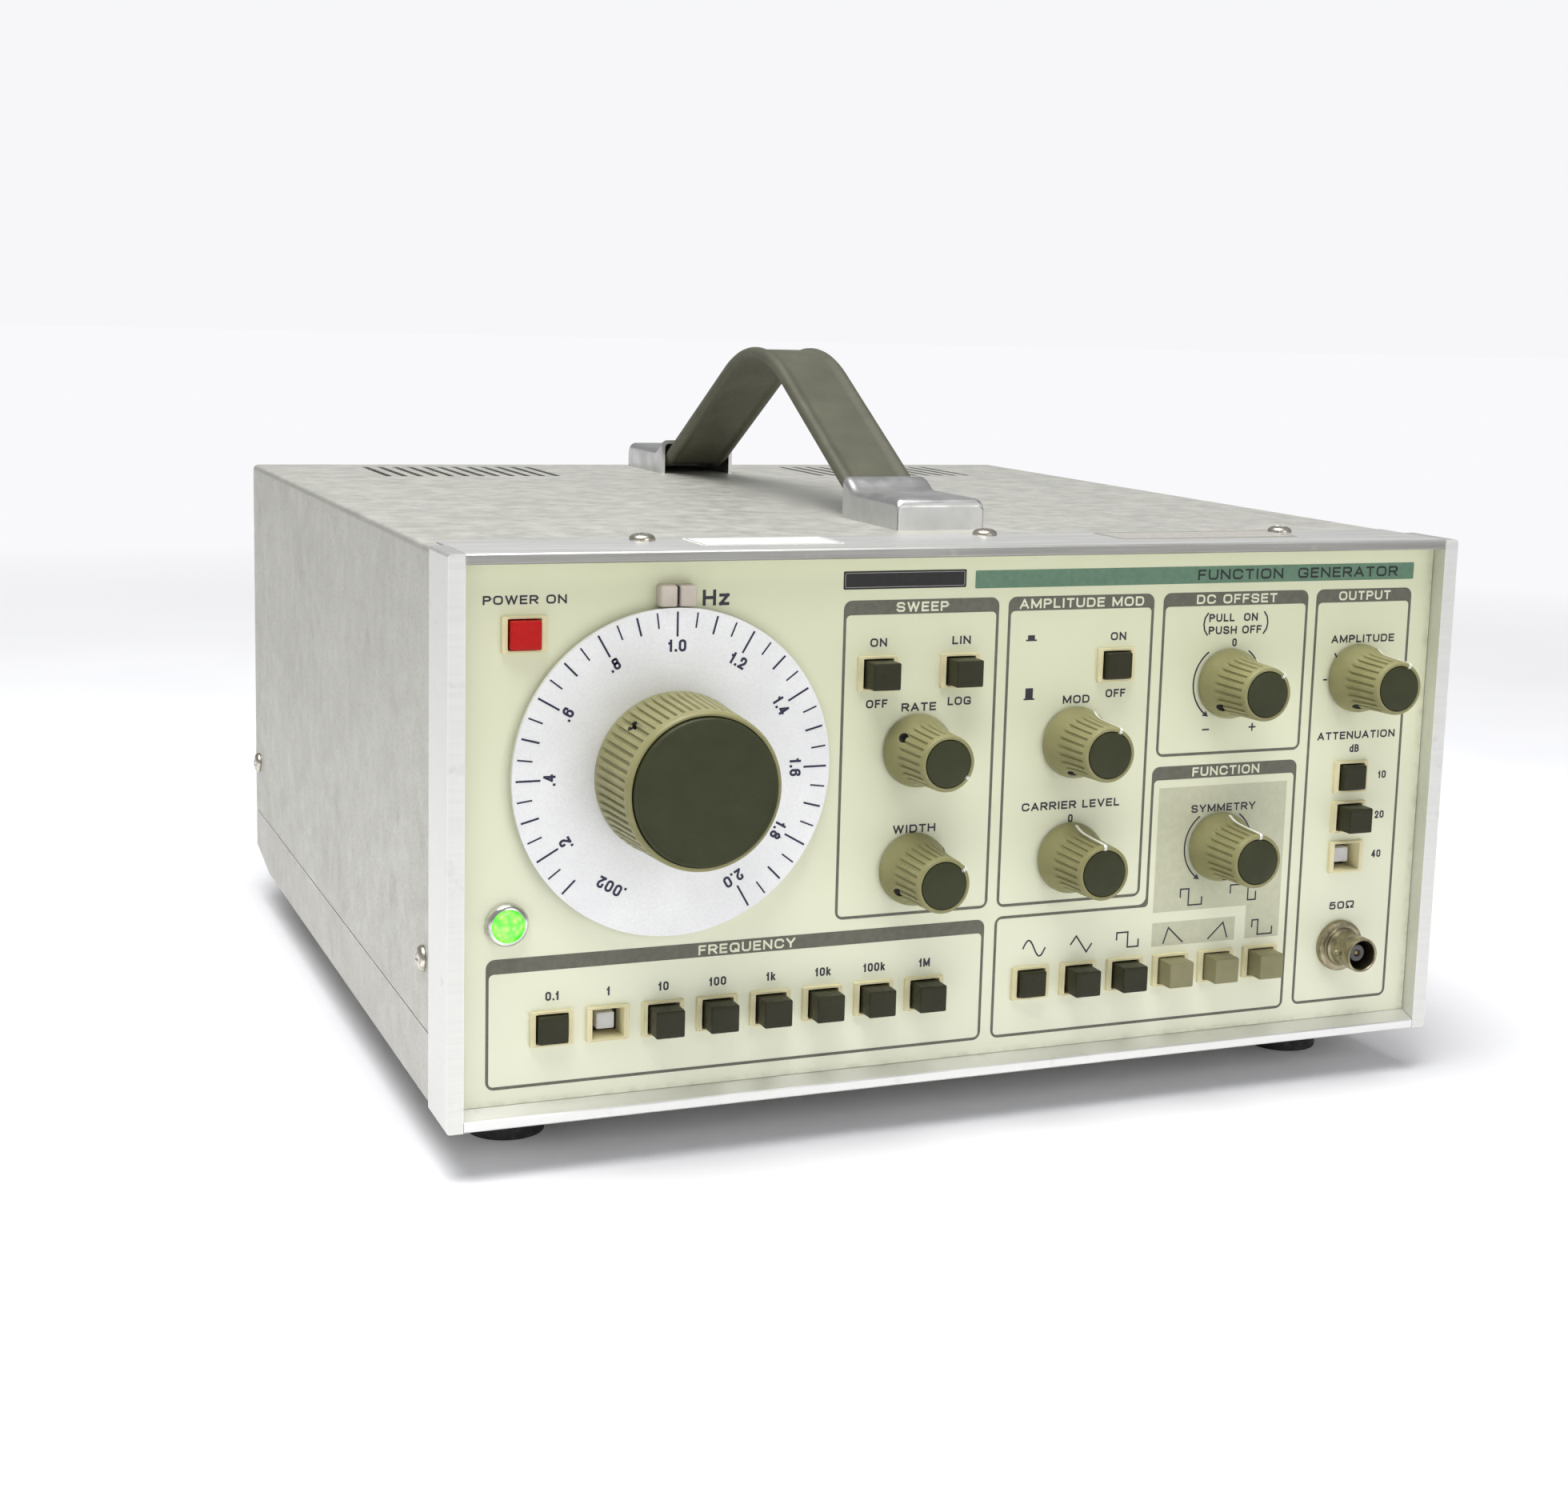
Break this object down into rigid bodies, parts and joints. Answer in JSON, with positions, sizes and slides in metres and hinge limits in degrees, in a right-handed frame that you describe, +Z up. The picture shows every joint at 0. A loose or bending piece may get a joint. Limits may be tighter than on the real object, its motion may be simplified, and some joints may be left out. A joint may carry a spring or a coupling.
{
  "type": "function generator",
  "caption": "Bench function generator: framed metal case with a printed panel, large tuning dial, fluted control knobs, push buttons, coaxial output socket and a strap handle on top.",
  "frame": {"origin": "centre of the bounding box, on the surface that the feet stand on", "axes": "+X to the user's right, +Y from the front panel to the back, +Z up"},
  "size_m": [0.2866, 0.328, 0.1986],
  "materials": {
    "panel_enamel": "satin cream enamel with printed legends",
    "anodised_rail": "satin anodised",
    "case_metal": "metallic silver-grey paint",
    "rear_metal": "satin grey paint",
    "grey_plastic": "moulded light grey",
    "black_plastic": "moulded black",
    "nickel": "bright nickel plate",
    "cream_plastic": "aged cream moulding",
    "plated_trim": "polished",
    "green_lens": "lit green lens",
    "index_plastic": "grey-pink index with a black hairline",
    "dial_aluminium": "satin spun disc with printed scale",
    "khaki_plastic": "fluted khaki moulding",
    "olive_plastic": "dark olive inlay",
    "olive_button": "dark olive moulding",
    "khaki_button": "khaki moulding",
    "red_plastic": "red moulding",
    "white_plastic": "natural white plunger",
    "steel_shaft": "turned",
    "board_laminate": "glass-epoxy laminate",
    "transformer_iron": "laminated core",
    "black_rubber": "moulded",
    "cap_plating": "satin plated pressing",
    "strap_vinyl": "grained vinyl"
  },
  "bodies": {
    "case": {"base_feet": "black_rubber", "bnc_connectors": "nickel", "bottom_cover": "case_metal", "button_bezels": "cream_plastic", "circuit_boards": "board_laminate", "cover_screws": "nickel", "dial_index": "index_plastic", "frame_cross_rails": "anodised_rail", "frame_side_rails": "anodised_rail", "front_panel": "panel_enamel", "handle_end_caps": "cap_plating", "handle_strap": "strap_vinyl", "mains_inlet": "black_plastic", "pilot_lamp_bezel": "plated_trim", "pilot_lamp_lens": "green_lens", "potentiometers": "steel_shaft", "power_transformer": "transformer_iron", "rear_panel": "rear_metal", "rear_posts": "grey_plastic", "switch_bodies": "black_plastic", "top_cover": "case_metal"},
    "dial": {"dial_disc": "dial_aluminium", "dial_knob": "khaki_plastic", "dial_knob_cap": "olive_plastic"},
    "sweep_rate_control": {"sweep_rate_knob": "khaki_plastic", "sweep_rate_knob_cap": "olive_plastic"},
    "sweep_width_control": {"sweep_width_knob": "khaki_plastic", "sweep_width_knob_cap": "olive_plastic"},
    "modulation_control": {"modulation_knob": "khaki_plastic", "modulation_knob_cap": "olive_plastic"},
    "carrier_level_control": {"carrier_level_knob": "khaki_plastic", "carrier_level_knob_cap": "olive_plastic"},
    "dc_offset_control": {"dc_offset_knob": "khaki_plastic", "dc_offset_knob_cap": "olive_plastic"},
    "symmetry_control": {"symmetry_knob": "khaki_plastic", "symmetry_knob_cap": "olive_plastic"},
    "amplitude_control": {"amplitude_knob": "khaki_plastic", "amplitude_knob_cap": "olive_plastic"},
    "dc_offset_switch": {"dc_offset_pull_shaft": "steel_shaft"},
    "attenuator_10_button": {"attenuator_10_button": "olive_button"},
    "attenuator_20_button": {"attenuator_20_button": "olive_button"},
    "attenuator_40_plunger": {"attenuator_40_plunger": "white_plastic"},
    "modulation_on_button": {"modulation_on_button": "olive_button"},
    "power_button": {"power_button": "red_plastic"},
    "pulse_button": {"pulse_button": "khaki_button"},
    "ramp_down_button": {"ramp_down_button": "khaki_button"},
    "ramp_up_button": {"ramp_up_button": "khaki_button"},
    "range_100_button": {"range_100_button": "olive_button"},
    "range_100k_button": {"range_100k_button": "olive_button"},
    "range_100m_button": {"range_100m_button": "olive_button"},
    "range_10_button": {"range_10_button": "olive_button"},
    "range_10k_button": {"range_10k_button": "olive_button"},
    "range_1M_button": {"range_1M_button": "olive_button"},
    "range_1_plunger": {"range_1_plunger": "white_plastic"},
    "range_1k_button": {"range_1k_button": "olive_button"},
    "sine_button": {"sine_button": "olive_button"},
    "square_button": {"square_button": "olive_button"},
    "sweep_linear_button": {"sweep_linear_button": "olive_button"},
    "sweep_on_button": {"sweep_on_button": "olive_button"},
    "triangle_button": {"triangle_button": "olive_button"}
  },
  "joints": [
    {"name": "dial_turn", "type": "hinge", "parent": "case", "child": "dial", "pos_m": [-0.0852, -0.137, 0.0982], "axis": [0, 1, 0], "range_deg": [-150, 150]},
    {"name": "sweep_rate_turn", "type": "hinge", "parent": "case", "child": "sweep_rate_control", "pos_m": [-0.0193, -0.137, 0.1005], "axis": [0, 1, 0], "range_deg": [-275, 25]},
    {"name": "sweep_width_turn", "type": "hinge", "parent": "case", "child": "sweep_width_control", "pos_m": [-0.0193, -0.137, 0.0694], "axis": [0, 1, 0], "range_deg": [-205, 95]},
    {"name": "modulation_turn", "type": "hinge", "parent": "case", "child": "modulation_control", "pos_m": [0.0264, -0.137, 0.1005], "axis": [0, 1, 0], "range_deg": [-175, 125]},
    {"name": "carrier_level_turn", "type": "hinge", "parent": "case", "child": "carrier_level_control", "pos_m": [0.0264, -0.137, 0.0694], "axis": [0, 1, 0], "range_deg": [-150, 150]},
    {"name": "dc_offset_pull", "type": "slide", "parent": "case", "child": "dc_offset_switch", "axis": [0, -1, 0], "range_m": [0, 0.005]},
    {"name": "dc_offset_turn", "type": "hinge", "parent": "dc_offset_switch", "child": "dc_offset_control", "pos_m": [0.0728, -0.137, 0.1145], "axis": [0, 1, 0], "range_deg": [-195, 105]},
    {"name": "symmetry_turn", "type": "hinge", "parent": "case", "child": "symmetry_control", "pos_m": [0.0728, -0.137, 0.0694], "axis": [0, 1, 0], "range_deg": [-155, 145]},
    {"name": "amplitude_turn", "type": "hinge", "parent": "case", "child": "amplitude_control", "pos_m": [0.1144, -0.137, 0.1145], "axis": [0, 1, 0], "range_deg": [-177, 123]},
    {"name": "attenuator_10_button_press", "type": "slide", "parent": "case", "child": "attenuator_10_button", "axis": [0, 1, 0], "range_m": [-0.004, 0]},
    {"name": "attenuator_20_button_press", "type": "slide", "parent": "case", "child": "attenuator_20_button", "axis": [0, 1, 0], "range_m": [0, 0.004], "stiffness_N_per_m": 150, "springref_m": -0.003},
    {"name": "attenuator_40_plunger_press", "type": "slide", "parent": "case", "child": "attenuator_40_plunger", "axis": [0, 1, 0], "range_m": [0, 0.004], "stiffness_N_per_m": 150, "springref_m": -0.003},
    {"name": "modulation_on_button_press", "type": "slide", "parent": "case", "child": "modulation_on_button", "axis": [0, 1, 0], "range_m": [-0.004, 0]},
    {"name": "power_button_press", "type": "slide", "parent": "case", "child": "power_button", "axis": [0, 1, 0], "range_m": [-0.004, 0]},
    {"name": "pulse_button_press", "type": "slide", "parent": "case", "child": "pulse_button", "axis": [0, 1, 0], "range_m": [0, 0.004], "stiffness_N_per_m": 150, "springref_m": -0.003},
    {"name": "ramp_down_button_press", "type": "slide", "parent": "case", "child": "ramp_down_button", "axis": [0, 1, 0], "range_m": [0, 0.004], "stiffness_N_per_m": 150, "springref_m": -0.003},
    {"name": "ramp_up_button_press", "type": "slide", "parent": "case", "child": "ramp_up_button", "axis": [0, 1, 0], "range_m": [0, 0.004], "stiffness_N_per_m": 150, "springref_m": -0.003},
    {"name": "range_100_button_press", "type": "slide", "parent": "case", "child": "range_100_button", "axis": [0, 1, 0], "range_m": [0, 0.004], "stiffness_N_per_m": 150, "springref_m": -0.003},
    {"name": "range_100k_button_press", "type": "slide", "parent": "case", "child": "range_100k_button", "axis": [0, 1, 0], "range_m": [0, 0.004], "stiffness_N_per_m": 150, "springref_m": -0.003},
    {"name": "range_100m_button_press", "type": "slide", "parent": "case", "child": "range_100m_button", "axis": [0, 1, 0], "range_m": [-0.004, 0]},
    {"name": "range_10_button_press", "type": "slide", "parent": "case", "child": "range_10_button", "axis": [0, 1, 0], "range_m": [0, 0.004], "stiffness_N_per_m": 150, "springref_m": -0.003},
    {"name": "range_10k_button_press", "type": "slide", "parent": "case", "child": "range_10k_button", "axis": [0, 1, 0], "range_m": [0, 0.004], "stiffness_N_per_m": 150, "springref_m": -0.003},
    {"name": "range_1M_button_press", "type": "slide", "parent": "case", "child": "range_1M_button", "axis": [0, 1, 0], "range_m": [0, 0.004], "stiffness_N_per_m": 150, "springref_m": -0.003},
    {"name": "range_1_plunger_press", "type": "slide", "parent": "case", "child": "range_1_plunger", "axis": [0, 1, 0], "range_m": [0, 0.004], "stiffness_N_per_m": 150, "springref_m": -0.003},
    {"name": "range_1k_button_press", "type": "slide", "parent": "case", "child": "range_1k_button", "axis": [0, 1, 0], "range_m": [0, 0.004], "stiffness_N_per_m": 150, "springref_m": -0.003},
    {"name": "sine_button_press", "type": "slide", "parent": "case", "child": "sine_button", "axis": [0, 1, 0], "range_m": [-0.004, 0]},
    {"name": "square_button_press", "type": "slide", "parent": "case", "child": "square_button", "axis": [0, 1, 0], "range_m": [0, 0.004], "stiffness_N_per_m": 150, "springref_m": -0.003},
    {"name": "sweep_linear_button_press", "type": "slide", "parent": "case", "child": "sweep_linear_button", "axis": [0, 1, 0], "range_m": [0, 0.004], "stiffness_N_per_m": 150, "springref_m": -0.003},
    {"name": "sweep_on_button_press", "type": "slide", "parent": "case", "child": "sweep_on_button", "axis": [0, 1, 0], "range_m": [0, 0.004], "stiffness_N_per_m": 150, "springref_m": -0.003},
    {"name": "triangle_button_press", "type": "slide", "parent": "case", "child": "triangle_button", "axis": [0, 1, 0], "range_m": [0, 0.004], "stiffness_N_per_m": 150, "springref_m": -0.003}
  ]
}
